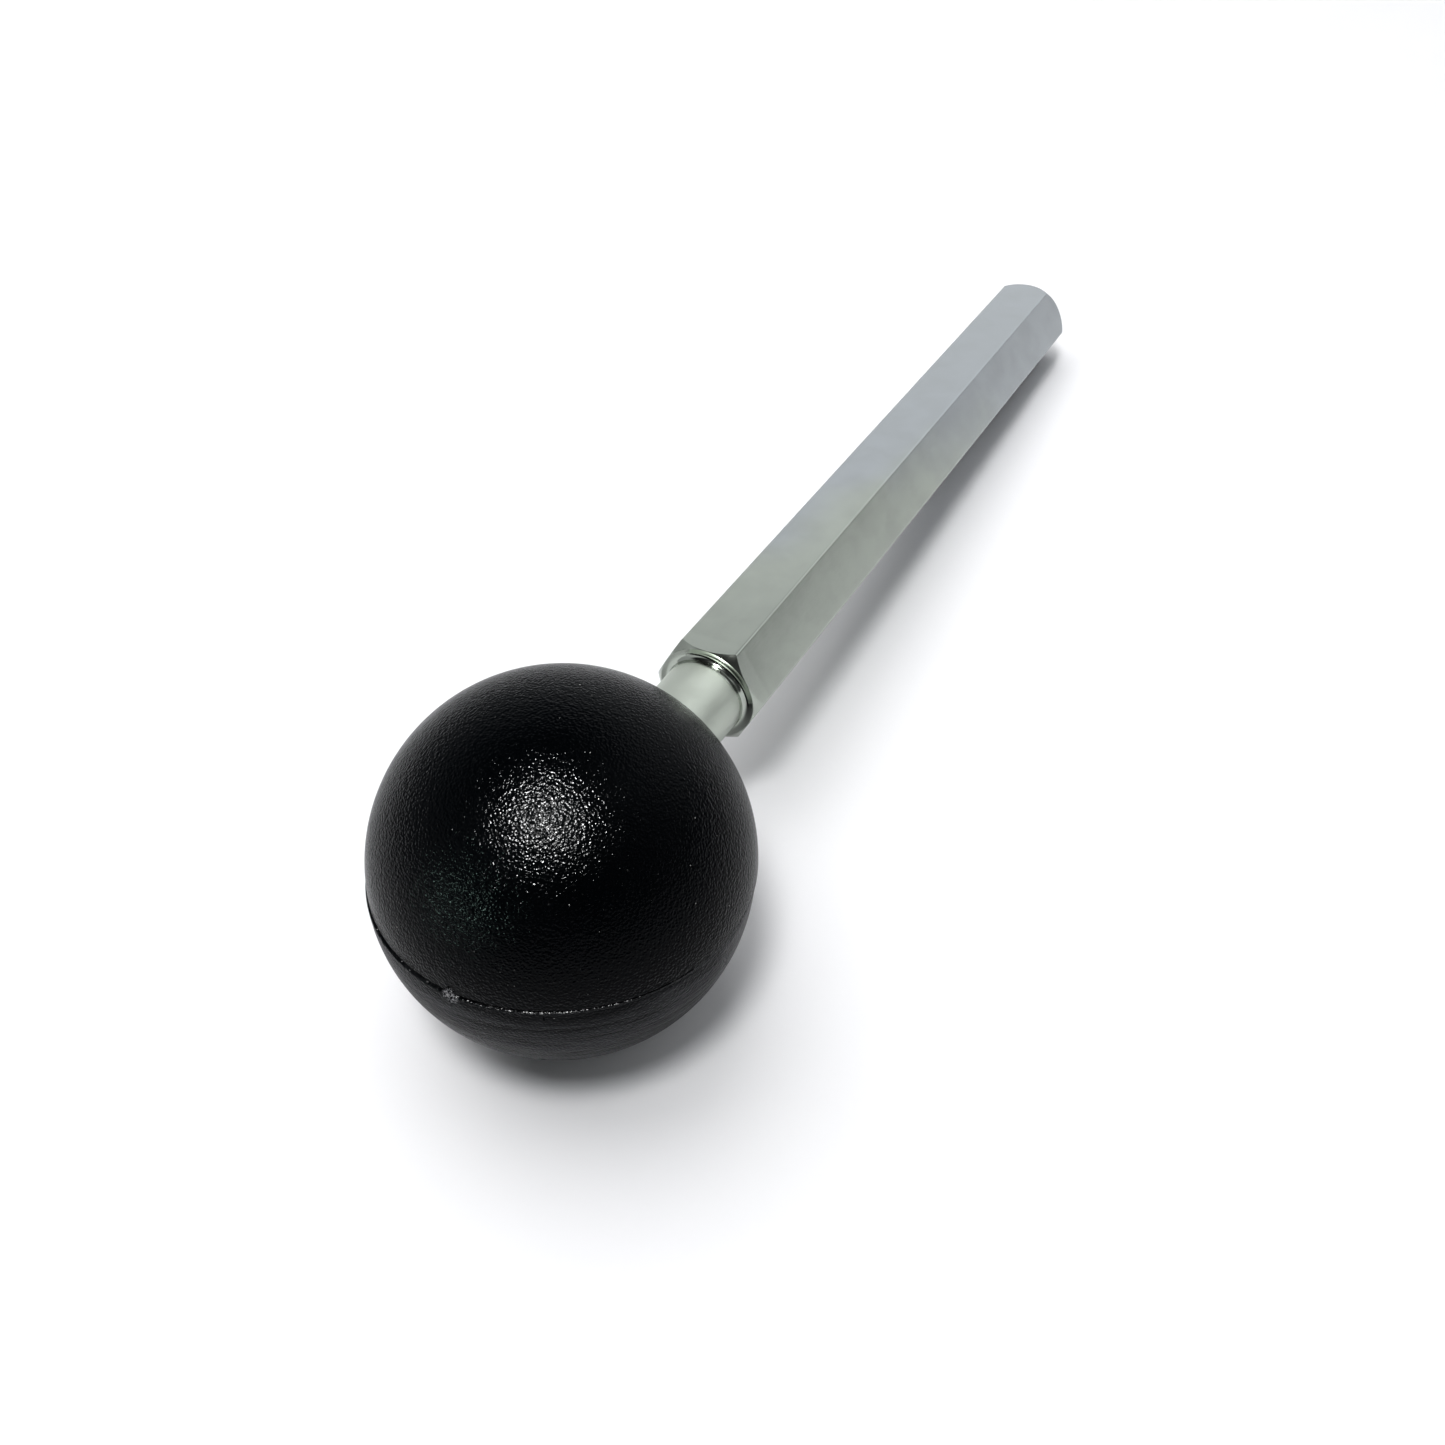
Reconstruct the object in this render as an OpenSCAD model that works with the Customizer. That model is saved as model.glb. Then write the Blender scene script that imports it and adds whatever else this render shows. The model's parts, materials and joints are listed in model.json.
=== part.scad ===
// Rubber ball mallet with a hexagonal steel handle, lying on a flat surface.
// The ball and the far end of the handle both touch the floor plane z = 0, and the
// handle points along +Y. Every piece is drawn along its own axis first, with z = 0
// at the centre of the ball and +z towards the tip, and is then laid down.

/* [Ball] */
// Diameter of the rubber ball
ball_d = 50; // [46:0.5:60]
// Width of the mould seam around the ball
seam_w = 0.7; // [0.3:0.1:1.5]
// Depth of the mould seam
seam_depth = 0.3; // [0.1:0.05:0.8]
// Roll of the mould seam about the handle, away from the handle's flats
seam_roll = 2; // [-30:1:30]
// Diameter of the torn mould gate opposite the handle
gate_d = 2.4; // [1:0.1:4]

/* [Handle] */
// Width across the flats of the hexagonal bar
flats = 15; // [14:1:17]
// Distance from the ball's centre to the shoulder of the handle
shoulder_z = 38; // [36:0.5:45]
// Distance from the ball's centre to the tip of the handle
tip_z = 180; // [140:1:220]
// Spherical radius of the tip
tip_r = 9; // [9:0.1:9.8]
// How far the corners are turned back at the shoulder, along and across the bar
chamfer = 1.2; // [0.8:0.1:1.3]

/* [Neck] */
// Diameter of the turned neck and of the threaded spigot behind it
neck_d = 12; // [10:0.5:12]
// Radius of the fillet between the neck and the shoulder
fillet_r = 0.8; // [0.4:0.1:1]

/* [Insert] */
// Width across the flats of the steel insert inside the ball
insert_flats = 19; // [17:1:19]
// Length of the insert
insert_l = 26; // [25:1:30]
// Thickness of the rubber over the mouth of the insert
mouth_cover = 3; // [2.5:0.5:4]
// Length of the spigot inside the insert
spigot_l = 22; // [16:1:22]
// Thickness of the closed end of the insert
insert_end = 3; // [2:0.5:3]
// Width of the grip groove around the insert
groove_w = 5; // [3:0.5:7]
// Depth of the grip groove below the flats
groove_depth = 1.2; // [0.5:0.1:2]

/* [Hidden] */
$fn = 96;

ball_r = ball_d / 2;
flat_r = flats / 2;
corner_r = flat_r / cos(30);
neck_r = neck_d / 2;
insert_corner_r = insert_flats / 2 / cos(30);
// The insert's mouth lies under the rubber, where the neck enters the ball.
mouth_z = sqrt(ball_r * ball_r - neck_r * neck_r) - mouth_cover;
bore_l = insert_l - insert_end;
spigot_z = mouth_z - spigot_l;
tip_ball_z = tip_z - tip_r;
// The shoulder's corners are rounded off by a sphere, at about 45 degrees.
shoulder_ball_z = shoulder_z + corner_r;
shoulder_ball_r = norm([corner_r - chamfer, corner_r]);

// The lowest point of the handle is where its bottom flat runs out into the tip.
flat_end_z = tip_ball_z + sqrt(tip_r * tip_r - flat_r * flat_r);
slope = asin(ball_r / norm([flat_end_z, flat_r])) - atan2(flat_r, flat_end_z);
// The ball is moved back so that the whole object is centred along Y.
y_front = tip_ball_z * cos(slope) + tip_r;
ball_y = (ball_r - y_front) / 2;

// Lays a piece down: its axis slopes gently down from the ball to the tip.
module laid_down() {
    translate([0, ball_y, ball_r]) rotate([-90 - slope, 0, 0]) children();
}

module hexagon(corner, length) {
    cylinder(r = corner, h = length, $fn = 6);
}

// Solid outline of the insert: a hexagon that cannot turn in the rubber,
// with a groove that keeps it from pulling out.
module insert_outline() {
    groove_r = insert_flats / 2 - groove_depth;
    translate([0, 0, mouth_z - insert_l]) difference() {
        hexagon(insert_corner_r, insert_l);
        translate([0, 0, (insert_l - groove_w) / 2]) difference() {
            cylinder(r = insert_corner_r + 1, h = groove_w);
            translate([0, 0, -1]) cylinder(r = groove_r, h = groove_w + 2);
        }
    }
}

// V-shaped ring around the ball, in a plane that holds the handle's axis.
module seam_ring() {
    rotate([90, 0, seam_roll]) rotate_extrude()
        polygon([[ball_r - seam_depth, 0],
                 [ball_r + 1, seam_w * 0.5 * (1 + 1 / seam_depth)],
                 [ball_r + 1, -seam_w * 0.5 * (1 + 1 / seam_depth)]]);
}

module rubber_ball() {
    color([0.05, 0.05, 0.055]) laid_down() {
        difference() {
            sphere(r = ball_r);
            seam_ring();
            insert_outline();
            translate([0, 0, mouth_z - 1]) cylinder(r = neck_r, h = ball_r);
        }
        // The stub of the mould gate stays inside the sphere's outline.
        translate([0, 0, -ball_r + 0.1]) cylinder(r = gate_d / 2, h = 1);
    }
}

module ball_insert() {
    color([0.62, 0.6, 0.55]) laid_down() difference() {
        insert_outline();
        translate([0, 0, mouth_z - bore_l]) cylinder(r = neck_r, h = bore_l + 1);
    }
}

// Bar with a turned-back shoulder and a round tip, before the neck is added.
module bar() {
    intersection() {
        translate([0, 0, shoulder_z]) hexagon(corner_r, tip_z - shoulder_z);
        union() {
            translate([0, 0, shoulder_ball_z]) sphere(r = shoulder_ball_r);
            translate([0, 0, shoulder_ball_z])
                cylinder(r = tip_r, h = tip_ball_z - shoulder_ball_z);
            translate([0, 0, tip_ball_z]) sphere(r = tip_r);
        }
    }
}

// Collar with a hollow round edge that leads the neck into the shoulder.
module neck_fillet() {
    translate([0, 0, shoulder_z - fillet_r]) difference() {
        cylinder(r = neck_r + fillet_r, h = fillet_r + 0.5);
        rotate_extrude() translate([neck_r + fillet_r, 0]) circle(r = fillet_r);
    }
}

module hex_handle() {
    point_l = 1.2;
    color([0.72, 0.74, 0.73]) laid_down() union() {
        bar();
        neck_fillet();
        translate([0, 0, spigot_z + point_l])
            cylinder(r = neck_r, h = shoulder_z + 1 - spigot_z - point_l);
        translate([0, 0, spigot_z]) cylinder(r1 = neck_r - point_l, r2 = neck_r, h = point_l);
    }
}

rubber_ball();
ball_insert();
hex_handle();
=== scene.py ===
"""Rubber ball mallet: a black rubber ball on a plated hexagonal steel bar, lying on a table.

Everything is in metres, in the frame of the CAD model: +Z up, the floor at z = 0, and
the handle pointing along +Y. The ball and the handle are each shaped along their own
axes first and then laid down on the floor.
"""
import json
from math import acos, asin, atan2, cos, degrees, pi, radians, sin, sqrt

import bmesh
import bpy
from mathutils import Matrix, Vector, noise


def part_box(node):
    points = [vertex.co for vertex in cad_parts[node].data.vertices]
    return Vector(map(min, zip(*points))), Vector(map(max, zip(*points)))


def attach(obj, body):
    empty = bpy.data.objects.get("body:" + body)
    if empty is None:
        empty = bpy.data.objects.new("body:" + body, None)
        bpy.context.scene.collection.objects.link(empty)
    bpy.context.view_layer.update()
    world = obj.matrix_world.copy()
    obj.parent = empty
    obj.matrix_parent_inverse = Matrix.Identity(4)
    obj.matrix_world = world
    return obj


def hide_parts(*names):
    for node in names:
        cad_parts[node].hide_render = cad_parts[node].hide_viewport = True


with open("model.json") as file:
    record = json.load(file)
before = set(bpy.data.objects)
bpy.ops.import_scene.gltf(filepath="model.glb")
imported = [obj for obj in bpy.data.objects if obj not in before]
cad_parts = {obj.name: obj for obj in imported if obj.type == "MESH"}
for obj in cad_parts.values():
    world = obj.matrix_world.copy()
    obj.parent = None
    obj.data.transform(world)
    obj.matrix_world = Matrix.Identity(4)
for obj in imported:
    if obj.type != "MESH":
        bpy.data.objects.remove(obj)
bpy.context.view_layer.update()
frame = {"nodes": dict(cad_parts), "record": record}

MM = 0.001

# ---------------------------------------------------------------- sizes from the frame

ball_low, ball_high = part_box("rubber_ball")
BALL_R = (ball_high[0] - ball_low[0]) / 2
BALL_CENTRE = Vector(ball_low) + Vector((BALL_R, BALL_R, BALL_R))

mounts = {mount["name"]: mount for mount in frame["record"]["mounts"]}
SLOPE = asin(-mounts["bottom_flat"]["axis"][1])

# Stations along the handle are measured from the ball's centre.
FLAT_R = 7.5 * MM
CORNER_R = FLAT_R / cos(pi / 6)
NECK_R = 6.0 * MM
FILLET_R = 0.8 * MM
SHOULDER = 38.0 * MM
TURNED_BACK = 1.2 * MM
TIP = 180.0 * MM
TIP_R = 9.0 * MM
SPIGOT_END = -0.73 * MM
SPIGOT_POINT = 1.2 * MM
EDGE_ROUND = 0.4 * MM
# A 120 degree corner is rounded to radius 1 from this far on each side of it.
CORNER_SETBACK = 0.58
# Marks that the turning tool left on the neck next to the fillet.
TOOL_MARKS = 7
TOOL_PITCH = 0.4 * MM
TOOL_MARKS_LONG = 3.2 * MM

SEAM_ROLL = radians(2)

# Lays the handle's own frame (z along the bar, y down) on the floor.
HANDLE_FRAME = Matrix.Translation(BALL_CENTRE) @ Matrix.Rotation(-pi / 2 - SLOPE, 4, "X")
# The ball's own frame: z across the mould seam, y towards the handle.
BALL_FRAME = (
    Matrix.Translation(BALL_CENTRE)
    @ Matrix.Rotation(-SLOPE, 4, "X")
    @ Matrix.Rotation(SEAM_ROLL, 4, "Y")
)

# ------------------------------------------------------------------------ small helpers


def smooth(low, high, value):
    """Goes smoothly from 0 at low to 1 at high."""
    t = min(1.0, max(0.0, (value - low) / (high - low)))
    return t * t * (3 - 2 * t)


def along(stops, value):
    """Reads a smooth curve through (position, height) stops."""
    for (a, low), (b, high) in zip(stops, stops[1:]):
        if value <= b:
            return low + (high - low) * smooth(a, b, value)
    return stops[-1][1]


def arc(centre, radius, start, end, steps):
    """Points (radius, height) of an arc in a turning profile, angles in degrees."""
    angles = [radians(start + (end - start) * i / steps) for i in range(steps + 1)]
    return [(centre[0] + radius * cos(a), centre[1] + radius * sin(a)) for a in angles]


def turned(profile, steps):
    """A solid turned about z from a profile of (radius, height) points."""
    bm = bmesh.new()
    points = [bm.verts.new((r, 0, z)) for r, z in profile]
    edges = [bm.edges.new(pair) for pair in zip(points, points[1:])]
    bmesh.ops.spin(
        bm, geom=points + edges, axis=(0, 0, 1), cent=(0, 0, 0),
        angle=2 * pi, steps=steps, use_merge=True,
    )
    bmesh.ops.remove_doubles(bm, verts=bm.verts, dist=1e-7)
    bmesh.ops.recalc_face_normals(bm, faces=bm.faces)
    return bm


def new_object(name, bm, place=Matrix.Identity(4)):
    """Turns a bmesh into an object at the origin, with its place in its mesh."""
    bmesh.ops.transform(bm, matrix=place, verts=bm.verts)
    mesh = bpy.data.meshes.new(name)
    bm.to_mesh(mesh)
    bm.free()
    piece = bpy.data.objects.new(name, mesh)
    bpy.context.scene.collection.objects.link(piece)
    return piece


def combine(piece, tool, operation):
    """Cuts or joins piece with tool, and removes the tool."""
    step = piece.modifiers.new("combine", "BOOLEAN")
    step.operation = operation
    step.object = tool
    step.solver = "MANIFOLD"
    result = piece.evaluated_get(bpy.context.evaluated_depsgraph_get())
    mesh = bpy.data.meshes.new_from_object(result)
    piece.modifiers.remove(step)
    old = piece.data
    piece.data = mesh
    bpy.data.meshes.remove(old)
    bpy.data.objects.remove(tool)


def finish_piece(piece, material, node, sharp=30):
    """Shades a piece, gives it its material and lets it stand for its CAD node."""
    mesh = piece.data
    mesh.shade_smooth()
    mesh.set_sharp_from_angle(angle=radians(sharp))
    mesh.materials.clear()
    mesh.materials.append(material)
    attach(piece, "root")
    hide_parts(node)


# ---------------------------------------------------------------------------- node help


def new_group(name, inputs, outputs):
    """An empty shader node group with named inputs (name, kind, value) and outputs."""
    tree = bpy.data.node_groups.new(name, "ShaderNodeTree")
    for label, kind, value in inputs:
        socket = tree.interface.new_socket(label, in_out="INPUT", socket_type=kind)
        if value is not None:
            socket.default_value = value
    for label, kind in outputs:
        tree.interface.new_socket(label, in_out="OUTPUT", socket_type=kind)
    return tree, tree.nodes.new("NodeGroupInput"), tree.nodes.new("NodeGroupOutput")


class Nodes:
    """Short calls for the nodes that the materials use."""

    def __init__(self, tree):
        self.tree = tree

    def add(self, kind, inputs=None, **settings):
        node = self.tree.nodes.new(kind)
        for key, value in settings.items():
            setattr(node, key, value)
        for key, value in (inputs or {}).items():
            self.put(node.inputs[key], value)
        return node

    def put(self, socket, value):
        if isinstance(value, bpy.types.NodeSocket):
            self.tree.links.new(value, socket)
        else:
            socket.default_value = value

    def math(self, operation, a, b=0.0, clamp=False):
        node = self.add("ShaderNodeMath", operation=operation, use_clamp=clamp)
        self.put(node.inputs[0], a)
        self.put(node.inputs[1], b)
        return node.outputs[0]

    def remap(self, value, low, high, to_low=0.0, to_high=1.0):
        node = self.add(
            "ShaderNodeMapRange",
            {"Value": value, "From Min": low, "From Max": high,
             "To Min": to_low, "To Max": to_high},
            interpolation_type="SMOOTHSTEP",
        )
        return node.outputs["Result"]

    def noise(self, vector, scale, detail=2.0, roughness=0.5, distortion=0.0):
        node = self.add(
            "ShaderNodeTexNoise",
            {"Vector": vector, "Scale": scale, "Detail": detail,
             "Roughness": roughness, "Distortion": distortion},
        )
        return node.outputs["Fac"]

    def stretch(self, vector, scale, turn=(0, 0, 0)):
        node = self.add("ShaderNodeMapping", {"Vector": vector, "Rotation": turn, "Scale": scale})
        return node.outputs["Vector"]

    def mix(self, factor, a, b):
        node = self.add("ShaderNodeMix", data_type="RGBA")
        self.put(node.inputs["Factor"], factor)
        self.put(node.inputs[6], a)
        self.put(node.inputs[7], b)
        return node.outputs[2]

    def own_frame(self, matrix):
        """Object coordinates in a piece's own frame, in millimetres."""
        place, turn, _ = matrix.decompose()
        coords = self.add("ShaderNodeTexCoord")
        node = self.add(
            "ShaderNodeMapping",
            {"Vector": coords.outputs["Object"], "Location": place,
             "Rotation": turn.to_euler(), "Scale": (MM, MM, MM)},
            vector_type="TEXTURE",
        )
        return node.outputs["Vector"]


def new_material(name):
    material = bpy.data.materials.new(name)
    material.use_nodes = True
    tree = material.node_tree
    tree.nodes.clear()
    nodes = Nodes(tree)
    shader = nodes.add("ShaderNodeBsdfPrincipled")
    output = nodes.add("ShaderNodeOutputMaterial")
    tree.links.new(shader.outputs["BSDF"], output.inputs["Surface"])
    return material, nodes, shader


def grain_group():
    """Fine grain, and soft clouds for uneven colour, from a position in millimetres."""
    tree, given, result = new_group(
        "surface_grain",
        [("Position", "NodeSocketVector", None), ("Grain", "NodeSocketFloat", 0.4),
         ("Cloud", "NodeSocketFloat", 12.0)],
        [("Grain", "NodeSocketFloat"), ("Cloud", "NodeSocketFloat")],
    )
    nodes = Nodes(tree)
    grain_scale = nodes.math("DIVIDE", 1.0, given.outputs["Grain"])
    cloud_scale = nodes.math("DIVIDE", 1.0, given.outputs["Cloud"])
    grain = nodes.noise(given.outputs["Position"], grain_scale, 1.0, 0.5, 0.4)
    cloud = nodes.noise(given.outputs["Position"], cloud_scale, 4.0, 0.55, 0.2)
    nodes.put(result.inputs["Grain"], grain)
    nodes.put(result.inputs["Cloud"], cloud)
    return tree


def speck_group():
    """Scattered small specks: 1 on a speck and 0 elsewhere."""
    tree, given, result = new_group(
        "specks",
        [("Position", "NodeSocketVector", None), ("Spacing", "NodeSocketFloat", 2.0),
         ("Size", "NodeSocketFloat", 0.1), ("Share", "NodeSocketFloat", 0.3)],
        [("Specks", "NodeSocketFloat")],
    )
    nodes = Nodes(tree)
    cells = nodes.add(
        "ShaderNodeTexVoronoi",
        {"Vector": given.outputs["Position"],
         "Scale": nodes.math("DIVIDE", 1.0, given.outputs["Spacing"])},
    )
    reach = nodes.math("DIVIDE", given.outputs["Size"], given.outputs["Spacing"])
    near = nodes.math("LESS_THAN", cells.outputs["Distance"], reach)
    pick = nodes.add("ShaderNodeSeparateColor", {"Color": cells.outputs["Color"]})
    chosen = nodes.math("LESS_THAN", pick.outputs[0], given.outputs["Share"])
    nodes.put(result.inputs["Specks"], nodes.math("MULTIPLY", near, chosen))
    return tree


GRAIN = grain_group()
SPECKS = speck_group()


def use_group(nodes, tree, inputs):
    node = nodes.add("ShaderNodeGroup", node_tree=tree)
    for key, value in inputs.items():
        nodes.put(node.inputs[key], value)
    return node


# ----------------------------------------------------------------------------- materials

RUBBER_DARK = (0.0003, 0.0007, 0.0013, 1)
RUBBER_LIGHT = (0.001, 0.0018, 0.0027, 1)
FLOW_DARK = (0.0015, 0.002, 0.003, 1)
FLOW_LIGHT = (0.032, 0.033, 0.036, 1)
TORN_RUBBER = (0.25, 0.25, 0.26, 1)
BEADED_RUBBER = (0.17, 0.17, 0.168, 1)
# Painted glints: pale specks in the colour that stand in for sparkle.
FAINT_GLINT_GREY = (0.16, 0.16, 0.155, 1)
BRIGHT_GLINT_GREY = (0.5, 0.5, 0.48, 1)
GREEN_ZINC = (0.51, 0.548, 0.495, 1)
BLUE_ZINC = (0.49, 0.52, 0.545, 1)
DULL_ZINC = (0.42, 0.44, 0.42, 1)
STEEL_DARK = (0.42, 0.41, 0.39, 1)
STEEL_LIGHT = (0.56, 0.55, 0.52, 1)
BOARD_DARK = (0.80, 0.80, 0.82, 1)
BOARD_LIGHT = (0.83, 0.83, 0.84, 1)
BOARD_MIRRORED = (0.62, 0.62, 0.63, 1)


def black_rubber():
    """Moulded black rubber: leathery grain, flow bands under the seam, and painted glints: paler
    specks that stand in for the grain's sparkle.
    """
    material, nodes, shader = new_material("black_rubber")
    where = nodes.own_frame(BALL_FRAME)
    place = nodes.add("ShaderNodeSeparateXYZ", {"Vector": where})
    height = place.outputs["Z"]
    side = place.outputs["X"]
    # 0 above the seam and 1 below it.
    below = nodes.remap(height, 1.0, -1.5)

    # The grain is turned off the ball's axes, so that it runs no way in particular.
    askew = nodes.stretch(where, (1.0, 1.0, 1.0), (0.7, 0.5, 0.9))
    base = use_group(nodes, GRAIN, {"Position": askew, "Grain": 0.36, "Cloud": 9.0})
    bands = nodes.noise(nodes.stretch(where, (0.05, 0.05, 0.5)), 1.0, 5.0, 0.55, 0.9)
    wrinkles = nodes.noise(nodes.stretch(askew, (1.8, 1.8, 0.9)), 1.0, 1.0, 0.5, 0.6)
    pebbles = nodes.add(
        "ShaderNodeTexVoronoi",
        {"Vector": askew, "Scale": 2.8, "Smoothness": 0.15},
        feature="SMOOTH_F1",
    ).outputs["Distance"]

    rough = nodes.remap(base.outputs["Cloud"], 0.3, 0.7, 0.13, 0.2)
    rough = nodes.math("ADD", rough, nodes.math("MULTIPLY", below, 0.14))
    nodes.put(shader.inputs["Roughness"], rough)

    tone = nodes.mix(base.outputs["Cloud"], RUBBER_DARK, RUBBER_LIGHT)
    band_tone = nodes.mix(nodes.remap(bands, 0.41, 0.6), FLOW_DARK, FLOW_LIGHT)
    tone = nodes.mix(nodes.math("MULTIPLY", below, 0.85), tone, band_tone)
    # Pale torn crumbs at the mould gate.
    gate = nodes.add("ShaderNodeVectorMath", operation="DISTANCE")
    nodes.put(gate.inputs[0], where)
    gate.inputs[1].default_value = (0, -HALF_R / MM, -0.45)
    torn = nodes.remap(gate.outputs["Value"], 1.35, 0.7)
    torn = nodes.math("MULTIPLY", torn, nodes.remap(nodes.noise(where, 3.5, 2.0, 0.7), 0.42, 0.6))
    tone = nodes.mix(torn, tone, TORN_RUBBER)
    # Scuffed beads of rubber along the seam, to the right of the gate.
    bead_line = nodes.remap(nodes.math("ABSOLUTE", nodes.math("ADD", height, 0.05)), 0.24, 0.1)
    bead_span = nodes.math("MULTIPLY", nodes.remap(side, 3.5, 6.5), nodes.remap(side, 16.0, 12.0))
    beads = nodes.remap(nodes.noise(where, 2.6, 2.0, 0.6), 0.52, 0.62)
    beads = nodes.math("MULTIPLY", beads, nodes.math("MULTIPLY", bead_line, bead_span))
    tone = nodes.mix(beads, tone, BEADED_RUBBER)
    # Painted glints: faint grey specks in patches and a few brighter specks, painted into the
    # colour to stand in for the sparkle of the grain.
    faint_glints = use_group(
        nodes, SPECKS, {"Position": where, "Spacing": 0.8, "Size": 0.09, "Share": 0.35}
    )
    patches = nodes.remap(nodes.noise(where, 0.16, 2.0), 0.48, 0.62)
    faint_glints = nodes.math("MULTIPLY", faint_glints.outputs["Specks"], patches)
    tone = nodes.mix(nodes.math("MULTIPLY", faint_glints, 0.5), tone, FAINT_GLINT_GREY)
    # Brighter painted glints, sparser than the faint ones.
    bright_glints = use_group(
        nodes, SPECKS, {"Position": where, "Spacing": 1.7, "Size": 0.085, "Share": 0.3}
    )
    tone = nodes.mix(nodes.math("MULTIPLY", bright_glints.outputs["Specks"], 0.6), tone, BRIGHT_GLINT_GREY)
    nodes.put(shader.inputs["Base Color"], tone)

    relief = nodes.math("MULTIPLY", base.outputs["Grain"], 0.55)
    relief = nodes.math("ADD", relief, nodes.math("MULTIPLY", pebbles, 0.5))
    relief = nodes.math("ADD", relief, nodes.math("MULTIPLY", wrinkles, 0.35))
    fine = nodes.add("ShaderNodeBump", {"Height": relief, "Strength": 1.0, "Distance": 0.14 * MM})
    flow = nodes.math("MULTIPLY", bands, below)
    broad = nodes.add(
        "ShaderNodeBump",
        {"Height": flow, "Strength": 1.0, "Distance": 0.25 * MM, "Normal": fine.outputs["Normal"]},
    )
    nodes.put(shader.inputs["Normal"], broad.outputs["Normal"])
    shader.inputs["Specular IOR Level"].default_value = 0.09
    return material


def plated_steel():
    """Bright zinc plate on drawn steel: satin, with faint cool and green clouds."""
    material, nodes, shader = new_material("plated_steel")
    where = nodes.own_frame(HANDLE_FRAME)
    base = use_group(nodes, GRAIN, {"Position": where, "Grain": 0.25, "Cloud": 7.0})
    drawn = nodes.noise(nodes.stretch(where, (5.0, 5.0, 0.04)), 1.0, 3.0, 0.6)
    # The plate's faint film turns from green near the ball to blue along the bar.
    place = nodes.add("ShaderNodeSeparateXYZ", {"Vector": where})
    station = place.outputs["Z"]
    drift = nodes.math("MULTIPLY", nodes.noise(where, 0.05, 2.0), 60.0)
    film = nodes.math("ADD", station, drift)
    film = nodes.math("SUBTRACT", film, nodes.math("MULTIPLY", place.outputs["X"], 4.0))
    tone = nodes.mix(nodes.remap(film, 92, 135), GREEN_ZINC, BLUE_ZINC)
    tone = nodes.mix(nodes.math("MULTIPLY", base.outputs["Cloud"], 0.35), tone, DULL_ZINC)
    nodes.put(shader.inputs["Base Color"], tone)
    shader.inputs["Metallic"].default_value = 1.0
    # The turned neck is duller than the bar, and the rounded-off shoulder is smoother.
    neck = nodes.remap(station, SHOULDER / MM - 0.9, SHOULDER / MM - 1.6)
    crown = nodes.math("SUBTRACT", nodes.remap(station, 41.5, 40.5), neck)
    rough = nodes.remap(base.outputs["Cloud"], 0.3, 0.7, 0.12, 0.19)
    rough = nodes.math("ADD", rough, nodes.math("MULTIPLY", drawn, 0.05))
    rough = nodes.math("ADD", rough, nodes.math("MULTIPLY", neck, 0.3))
    rough = nodes.math("SUBTRACT", rough, nodes.math("MULTIPLY", crown, 0.07))
    nodes.put(shader.inputs["Roughness"], rough)
    relief = nodes.math("ADD", nodes.math("MULTIPLY", drawn, 0.6), base.outputs["Grain"])
    # The plate grew coarse crystals on the neck, most of all close to the ball.
    crystals = nodes.add("ShaderNodeTexVoronoi", {"Vector": where, "Scale": 3.0})
    coarse = nodes.math("MULTIPLY", nodes.remap(station, 33.5, 29.0), 6.0)
    coarse = nodes.math("MULTIPLY", crystals.outputs["Distance"], coarse)
    relief = nodes.math("ADD", relief, coarse)
    bump = nodes.add("ShaderNodeBump", {"Height": relief, "Strength": 0.6, "Distance": 0.005 * MM})
    nodes.put(shader.inputs["Normal"], bump.outputs["Normal"])
    return material


def insert_steel():
    """Plain turned steel, a little dull, for the insert inside the ball."""
    material, nodes, shader = new_material("insert_steel")
    where = nodes.own_frame(HANDLE_FRAME)
    base = use_group(nodes, GRAIN, {"Position": where, "Grain": 0.3, "Cloud": 5.0})
    rings = nodes.noise(nodes.stretch(where, (0.3, 0.3, 6.0)), 1.0, 2.0, 0.5)
    tone = nodes.mix(base.outputs["Cloud"], STEEL_DARK, STEEL_LIGHT)
    nodes.put(shader.inputs["Base Color"], tone)
    shader.inputs["Metallic"].default_value = 1.0
    nodes.put(shader.inputs["Roughness"], nodes.remap(base.outputs["Grain"], 0.3, 0.7, 0.34, 0.46))
    bump = nodes.add("ShaderNodeBump", {"Height": rings, "Strength": 0.5, "Distance": 0.01 * MM})
    nodes.put(shader.inputs["Normal"], bump.outputs["Normal"])
    return material


def floor_material():
    """Matt white board."""
    material, nodes, shader = new_material("white_board")
    coords = nodes.add("ShaderNodeTexCoord").outputs["Object"]
    cloud = nodes.noise(coords, 30.0, 3.0)
    tone = nodes.mix(cloud, BOARD_DARK, BOARD_LIGHT)
    # The board is a little greyer in the rubber and the steel than where it is looked at.
    mirrored = nodes.add("ShaderNodeLightPath").outputs["Is Glossy Ray"]
    nodes.put(shader.inputs["Base Color"], nodes.mix(mirrored, tone, BOARD_MIRRORED))
    shader.inputs["Roughness"].default_value = 0.9
    return material


# ---------------------------------------------------------------------------- the handle


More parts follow.
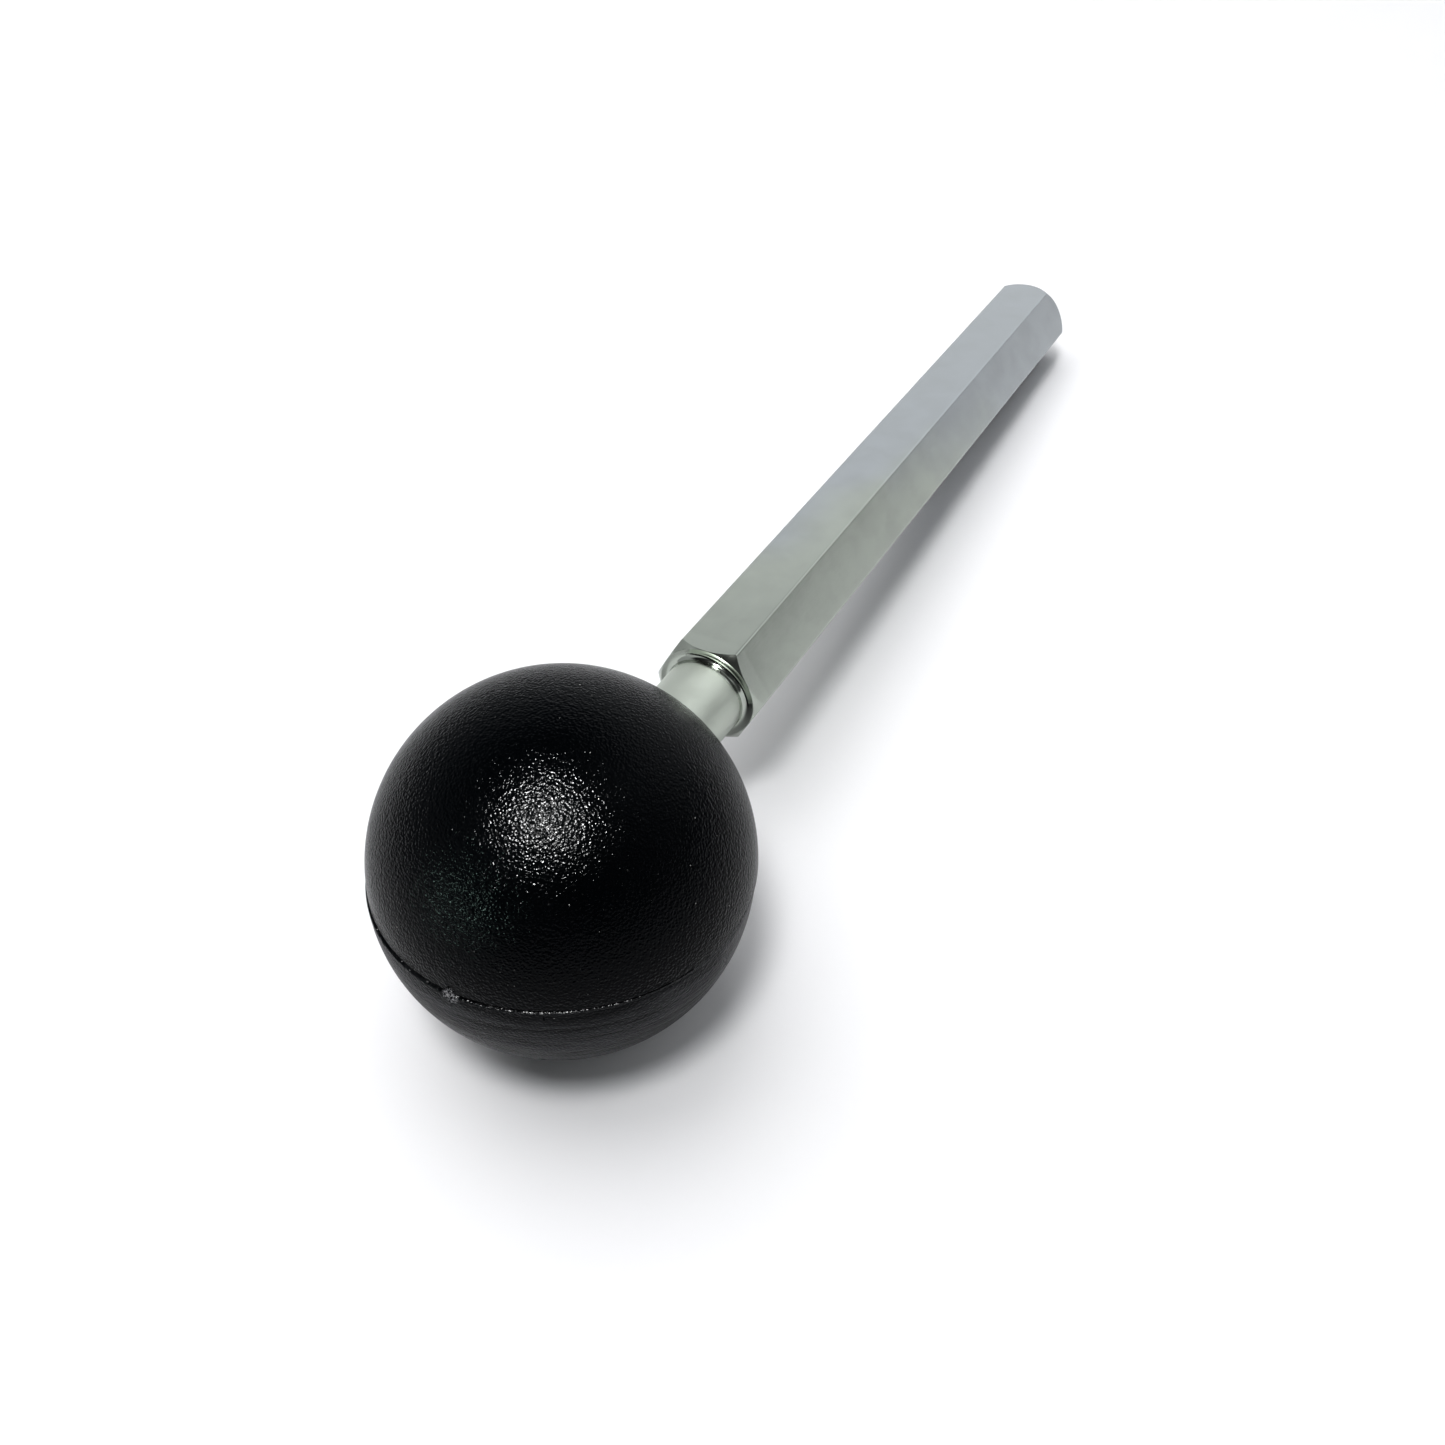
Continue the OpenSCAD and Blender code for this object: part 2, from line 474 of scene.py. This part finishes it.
def hexagonal_stock():
    """Hexagonal bar with softly rounded long edges, longer than the handle at both ends."""
    bm = bmesh.new()
    margin = 5 * MM
    bmesh.ops.create_circle(bm, segments=6, radius=CORNER_R, cap_ends=True)
    bmesh.ops.rotate(bm, verts=bm.verts, cent=(0, 0, 0), matrix=Matrix.Rotation(pi / 2, 3, "Z"))
    bmesh.ops.translate(bm, verts=bm.verts, vec=(0, 0, SPIGOT_END - margin))
    grown = bmesh.ops.extrude_face_region(bm, geom=bm.faces[:])
    top = [v for v in grown["geom"] if isinstance(v, bmesh.types.BMVert)]
    bmesh.ops.translate(bm, verts=top, vec=(0, 0, TIP - SPIGOT_END + 2 * margin))
    long_edges = [e for e in bm.edges if abs(e.verts[0].co.z - e.verts[1].co.z) > margin]
    bmesh.ops.bevel(
        bm, geom=long_edges, offset=EDGE_ROUND * CORNER_SETBACK, offset_type="OFFSET",
        affect="EDGES", segments=4, profile=0.5, material=-1,
    )
    bmesh.ops.recalc_face_normals(bm, faces=bm.faces)
    return bm


def handle_profile():
    """Turning profile of the handle, from the spigot's end to the tip."""
    profile = [(0, SPIGOT_END), (NECK_R - SPIGOT_POINT, SPIGOT_END)]
    profile += [(NECK_R, SPIGOT_END + SPIGOT_POINT)]
    # Feed marks of the turning tool, deepest next to the fillet.
    neck_end = SHOULDER - FILLET_R
    marks_start = neck_end - TOOL_MARKS_LONG
    profile += [(NECK_R, marks_start)]
    for i in range(TOOL_MARKS):
        z = marks_start + (i + 0.5) * TOOL_PITCH
        depth = (0.01 + 0.006 * i) * MM
        profile += [(NECK_R - depth, z), (NECK_R, z + TOOL_PITCH / 2)]
    profile += arc((NECK_R + FILLET_R, neck_end), FILLET_R, 180, 90, 10)
    # Flat of the shoulder, then its rounded-off corners.
    round_z = SHOULDER + CORNER_R
    round_r = sqrt((CORNER_R - TURNED_BACK) ** 2 + CORNER_R**2)
    start = degrees(atan2(SHOULDER - round_z, CORNER_R - TURNED_BACK))
    end = -degrees(acos(TIP_R / round_r))
    profile += arc((0, round_z), round_r, start, end, 14)
    profile += arc((0, TIP - TIP_R), TIP_R, 0, 90, 28)
    profile[-1] = (0, TIP)
    return profile


def hex_handle(material):
    blank = new_object("turned_blank", turned(handle_profile(), 192))
    piece = new_object("handle_bar", hexagonal_stock())
    combine(piece, blank, "INTERSECT")
    piece.data.transform(HANDLE_FRAME)
    finish_piece(piece, material, "hex_handle", sharp=28)
    weighted = piece.modifiers.new("flat_normals", "WEIGHTED_NORMAL")
    weighted.weight = 100
    weighted.keep_sharp = True
    return piece


# ------------------------------------------------------------------------------ the ball

# The mould did not quite close: the ball's halves stand a little apart, and the lower
# half has slipped sideways.
HALVES_APART = 0.84 * MM
HALF_R = BALL_R - HALVES_APART / 2 - 0.02 * MM
SLIP = Vector((-0.22, -0.12, 0)) * MM
# Round the seam, in degrees from the mould gate and positive to the left, in mm.
GROOVE_WIDTHS = [(-180, 0.3), (-128, 0.24), (-100, 0.24), (-89, 0.14), (-74, 0.14), (-64, 0.25),
                 (-38, 0.3), (-26, 0.5), (-6, 0.64), (8, 0.7), (38, 0.66), (52, 0.35),
                 (90, 0.25), (180, 0.3)]
GROOVE_DEPTHS = [(-180, 0.3), (-128, 0.3), (-98, 0.35), (-89, 0.0), (-74, 0.0), (-64, 0.2),
                 (-38, 0.25), (-26, 0.4), (-6, 0.6), (8, 0.65), (38, 0.6), (52, 0.3),
                 (90, 0.25), (180, 0.3)]
# Rings across the seam: how far down the groove, or down the band under it, and the depth.
GROOVE_RINGS = [(0.0, 0.0), (0.04, 0.35), (0.1, 0.8), (0.25, 1.0), (0.5, 0.95), (0.7, 0.75),
                (0.86, 0.35), (0.95, 0.1), (1.0, 0.0)]
BAND_RINGS = [0.12, 0.3, 0.5, 0.7, 0.88]
NICK_TURN = -27.5
NICK_DROP = 0.95 * MM
# The torn gate lies on the groove, just under the middle of the seam.
GATE_DROP = 0.35 * MM
GATE_REACH = 2.6 * MM
MOUTH_DEPTH = 3 * MM


def ball_profile():
    """Half outline of the ball from the bottom pole to the top pole, seam rings included."""
    r = HALF_R
    gap = HALVES_APART / 2
    profile = arc((0, -gap), r, -90, -7, 60)
    profile += arc((0, -gap), r, -6.2, 0, 12)
    rings = len(GROOVE_RINGS) + len(BAND_RINGS)
    profile += [(r, -gap + 2 * gap * (i + 1) / (rings + 1)) for i in range(rings)]
    profile += arc((0, gap), r, 0, 2.4, 5)
    profile += arc((0, gap), r, 3.2, 7, 5)
    profile += arc((0, gap), r, 8.2, 90, 58)
    profile[0] = (0, -gap - r)
    profile[-1] = (0, gap + r)
    return profile


def seam_turn(point):
    """Degrees round the seam from the gate, positive to the left."""
    return degrees(atan2(-point.x, -point.y))


def shape_seam(bm):
    """Sets the rings of the seam: an open groove on one side, a closed line on the other."""
    gap = HALVES_APART / 2
    rings = len(GROOVE_RINGS) + len(BAND_RINGS)
    for vert in bm.verts:
        x, y, z = vert.co
        if abs(z) >= gap * 0.999:
            continue
        place = round((z / gap + 1) / 2 * (rings + 1)) - 1
        turn = seam_turn(vert.co)
        width = along(GROOVE_WIDTHS, turn) * MM
        depth = along(GROOVE_DEPTHS, turn) * MM
        flat = Vector((x, y, 0))
        out = flat.normalized()
        ragged = noise.noise(flat / (0.9 * MM)) + 0.6 * noise.noise(flat / (0.35 * MM))
        width *= 1 + 0.15 * ragged
        top = gap - 0.02 * MM + 0.02 * MM * noise.noise(flat / (1.5 * MM))
        beads = max(0.0, noise.noise(flat / (0.3 * MM) + Vector((0, 0, 9))))
        beads *= smooth(-66, -50, turn) * smooth(2, -12, turn)
        if place >= len(BAND_RINGS):
            down, sunk = GROOVE_RINGS[rings - 1 - place]
            level = -sunk * depth
            new_z = top - down * width
            worn = smooth(0.75, 1.0, down)
        else:
            along_band = BAND_RINGS[len(BAND_RINGS) - 1 - place]
            level = 0.0
            bottom = top - width
            new_z = bottom + (-gap - bottom) * along_band
            worn = 1 - smooth(0.0, 0.8, along_band)
        level += worn * (0.16 * MM * beads - 0.03 * MM)
        level += 0.02 * MM * ragged
        vert.co = out * (HALF_R + level)
        vert.co.z = new_z


def refine(bm, centre, reaches):
    """Splits the faces near a point, once for each reach, to leave room for fine shape."""
    for reach in reaches:
        near = [e for e in bm.edges if all((v.co - centre).length < reach for v in e.verts)]
        bmesh.ops.subdivide_edges(bm, edges=near, cuts=1, use_grid_fill=True)


def tear_gate(bm):
    """Roughens the place opposite the handle where the sprue was torn off."""
    pole = Vector((0, -HALF_R, -GATE_DROP))
    refine(bm, pole, (3.2 * MM, 2.4 * MM, 1.8 * MM))
    for vert in bm.verts:
        offset = vert.co - pole
        if offset.length > GATE_REACH:
            continue
        across = offset.x + 0.25 * offset.z
        distance = sqrt((across / 0.95) ** 2 + (offset.z / 1.15) ** 2)
        distance *= 1 + 0.35 * noise.noise(vert.co / (0.7 * MM))
        edge = 1 - smooth(0.7 * MM, 1.15 * MM, distance)
        bits = noise.noise(vert.co / (0.34 * MM)) + 0.8 * noise.noise(vert.co / (0.16 * MM))
        out = Vector((vert.co.x, vert.co.y, 0)).normalized()
        level = Vector((vert.co.x, vert.co.y)).length - HALF_R
        # The torn stub fills the groove and stands up in crumbs.
        stub = 0.08 * MM + 0.28 * MM * bits
        vert.co += out * (stub - level) * edge
        # A notch is torn out of the upper lip beside it.
        notch = (vert.co - Vector((0.15 * MM, -HALF_R, 0.75 * MM))).length
        vert.co -= out * 0.55 * MM * (1 - smooth(0.15 * MM, 0.6 * MM, notch))


def cut_nick(bm):
    """A short upright nick just under the seam."""
    turn = radians(NICK_TURN)
    side = Vector((-sin(turn), -cos(turn), 0))
    middle = side * HALF_R - Vector((0, 0, NICK_DROP))
    refine(bm, middle, (1.0 * MM, 0.8 * MM))
    tangent = Vector((side.y, -side.x, 0))
    for vert in bm.verts:
        offset = vert.co - middle
        if offset.length > 0.9 * MM:
            continue
        across = abs(offset.dot(tangent)) / (0.12 * MM)
        tall = abs(offset.z) / (0.42 * MM)
        vert.co -= side * 0.16 * MM * (1 - smooth(0.3, 1.0, across)) * (1 - smooth(0.6, 1, tall))


def uneven(bm):
    """Slight unevenness, which only takes rubber away, and the slip of the lower half."""
    for vert in bm.verts:
        swell = noise.noise(vert.co / (16 * MM)) + 0.35 * noise.noise(vert.co / (5 * MM))
        lower = smooth(0.1 * MM, -0.4 * MM, vert.co.z)
        flow = noise.noise(Vector((vert.co.x / 30, vert.co.y / 30, vert.co.z / 1.1)) / MM)
        vert.co *= 1 - 0.0012 * (0.5 + 0.5 * swell) - 0.0010 * (0.5 + 0.5 * flow) * lower
        vert.co += SLIP * lower


def rubber_ball(material):
    bm = turned(ball_profile(), 480)
    shape_seam(bm)
    tear_gate(bm)
    cut_nick(bm)
    uneven(bm)
    bmesh.ops.recalc_face_normals(bm, faces=bm.faces)
    piece = new_object("ball_skin", bm)
    # The hole that the neck goes in through, with a soft edge.
    mouth = sqrt(BALL_R**2 - NECK_R**2)
    hole = turned(
        [(0, mouth - MOUTH_DEPTH), (NECK_R, mouth - MOUTH_DEPTH), (NECK_R, mouth - 0.35 * MM),
         (NECK_R + 0.1 * MM, mouth - 0.1 * MM), (NECK_R + 0.5 * MM, mouth + 0.3 * MM),
         (NECK_R + 0.5 * MM, BALL_R + 2 * MM), (0, BALL_R + 2 * MM)],
        96,
    )
    tool = new_object("mouth_tool", hole, Matrix.Rotation(-pi / 2, 4, "X"))
    combine(piece, tool, "DIFFERENCE")
    piece.data.transform(BALL_FRAME)
    finish_piece(piece, material, "rubber_ball", sharp=50)
    return piece


# ----------------------------------------------------------------------- scene and light


def white_floor():
    bm = bmesh.new()
    bmesh.ops.create_grid(bm, x_segments=1, y_segments=1, size=0.9)
    floor = new_object("floor", bm)
    floor.data.materials.append(floor_material())


def area_light(name, place, aim, size, radiance, colour=(1, 1, 1), mirrored=True, lights=True):
    """A round soft light, which shows in polished surfaces, lights matt ones, or both."""
    data = bpy.data.lights.new(name, "AREA")
    data.shape = "DISK"
    data.size = size
    data.energy = radiance * pi * pi * (size / 2) ** 2
    data.color = colour
    light = bpy.data.objects.new(name, data)
    light.location = place
    light.rotation_euler = (Vector(aim) - Vector(place)).to_track_quat("-Z", "Y").to_euler()
    light.visible_glossy = mirrored
    light.visible_diffuse = lights
    bpy.context.scene.collection.objects.link(light)


def room_light():
    """The room: pale round the horizon, dark overhead and dark on the camera's side."""
    world = bpy.data.worlds.new("room")
    bpy.context.scene.world = world
    world.use_nodes = True
    tree = world.node_tree
    nodes = Nodes(tree)
    way = nodes.add("ShaderNodeTexCoord").outputs["Generated"]
    height = nodes.add("ShaderNodeSeparateXYZ", {"Vector": way}).outputs["Z"]
    level = nodes.remap(height, 0.72, 0.45, 0.03, 0.78)
    # Dim sides of the room: which way, where the dimming starts and ends, what is left.
    for side, near, far, shade in (
        ((0.6, -0.8, 0), 0.1, 0.75, 0.08),
        ((0.85, 0.53, 0), 0.78, 0.98, 0.2),
        ((-1, 0, 0), 0.3, 0.95, 0.5),
    ):
        facing = nodes.add("ShaderNodeVectorMath", operation="DOT_PRODUCT")
        nodes.put(facing.inputs[0], way)
        facing.inputs[1].default_value = side
        share = nodes.remap(facing.outputs["Value"], near, far, 1.0, shade)
        level = nodes.math("MULTIPLY", level, share)
    # A paler patch high up, to the right of the handle's tip.
    window = nodes.add("ShaderNodeVectorMath", operation="DOT_PRODUCT")
    nodes.put(window.inputs[0], way)
    window.inputs[1].default_value = (0.40, 0.62, 0.675)
    level = nodes.math("ADD", level, nodes.remap(window.outputs["Value"], 0.82, 0.97, 0.0, 0.3))
    # The backdrop itself is plain and pale wherever it is looked at directly.
    # Matt surfaces get a softer glow, mostly from the right, which fills the shadows there.
    path = nodes.add("ShaderNodeLightPath").outputs
    right = nodes.add("ShaderNodeVectorMath", operation="DOT_PRODUCT")
    nodes.put(right.inputs[0], way)
    right.inputs[1].default_value = (0.82, 0.45, 0.35)
    glow = nodes.remap(right.outputs["Value"], -0.2, 0.9, 0.05, 0.6)
    glow = nodes.math("MULTIPLY", glow, nodes.remap(height, 0.1, 0.5, 0.06, 1.0))
    plain = nodes.math("MULTIPLY", path["Is Camera Ray"], nodes.math("SUBTRACT", 0.85, level))
    glow = nodes.math("MULTIPLY", path["Is Diffuse Ray"], nodes.math("SUBTRACT", glow, level))
    strength = nodes.math("ADD", level, nodes.math("ADD", plain, glow))
    background = tree.nodes["Background"]
    nodes.put(background.inputs["Strength"], strength)
    background.inputs["Color"].default_value = (0.97, 0.985, 1.0, 1)


CAMERA_AZIMUTH = radians(41.13)
CAMERA_ELEVATION = radians(48.44)
CAMERA_DISTANCE = 193.0 * MM
CAMERA_ROLL = radians(5.46)
CAMERA_LENS = 37.67
# The camera looks at the neck, a little to the right of its axis.
AIM_STATION = 35.52 * MM
AIM_ASIDE = Vector((3.83, -0.23, -2.25)) * MM


def studio_camera():
    data = bpy.data.cameras.new("camera")
    data.lens = CAMERA_LENS
    data.sensor_width = 36
    data.clip_start = 0.01
    camera = bpy.data.objects.new("camera", data)
    level = cos(CAMERA_ELEVATION)
    camera.location = BALL_CENTRE + CAMERA_DISTANCE * Vector(
        (sin(CAMERA_AZIMUTH) * level, -cos(CAMERA_AZIMUTH) * level, sin(CAMERA_ELEVATION))
    )
    aim = HANDLE_FRAME @ Vector((0, 0, AIM_STATION)) + AIM_ASIDE
    look = (aim - camera.location).to_track_quat("-Z", "Y").to_matrix()
    camera.rotation_euler = (look @ Matrix.Rotation(-CAMERA_ROLL, 3, "Z")).to_euler()
    bpy.context.scene.collection.objects.link(camera)
    bpy.context.scene.camera = camera


# The lamp shines in the rubber and the steel, and a wider glow in its place lights the
# floor. It hangs over the ball, a little to the camera's side.
LAMP = (0.144, -0.410, 1.09)
LAMP_AIM = (0.007, -0.087, 0.047)

studio_camera()
white_floor()
room_light()
area_light("lamp", LAMP, LAMP_AIM, 0.2, 440, lights=False)
area_light("lamp_glow", LAMP, LAMP_AIM, 0.3, 24, mirrored=False)
area_light("left_panel", (-0.42, 0.15, 0.9), (0, 0, 0), 1.25, 1.95, mirrored=False)
# A small green card, low at the front left, shows faintly in the rubber.
area_light(
    "green_card", (-0.23, -0.58, 0.15), (0, -0.09, 0.04), 0.06, 75, (0.7, 1.0, 0.88), lights=False
)
bpy.context.scene.view_settings.view_transform = "Standard"
bpy.context.scene.view_settings.look = "Medium High Contrast"

rubber_ball(black_rubber())
hex_handle(plated_steel())
insert = frame["nodes"]["ball_insert"]
insert.data.materials.clear()
insert.data.materials.append(insert_steel())
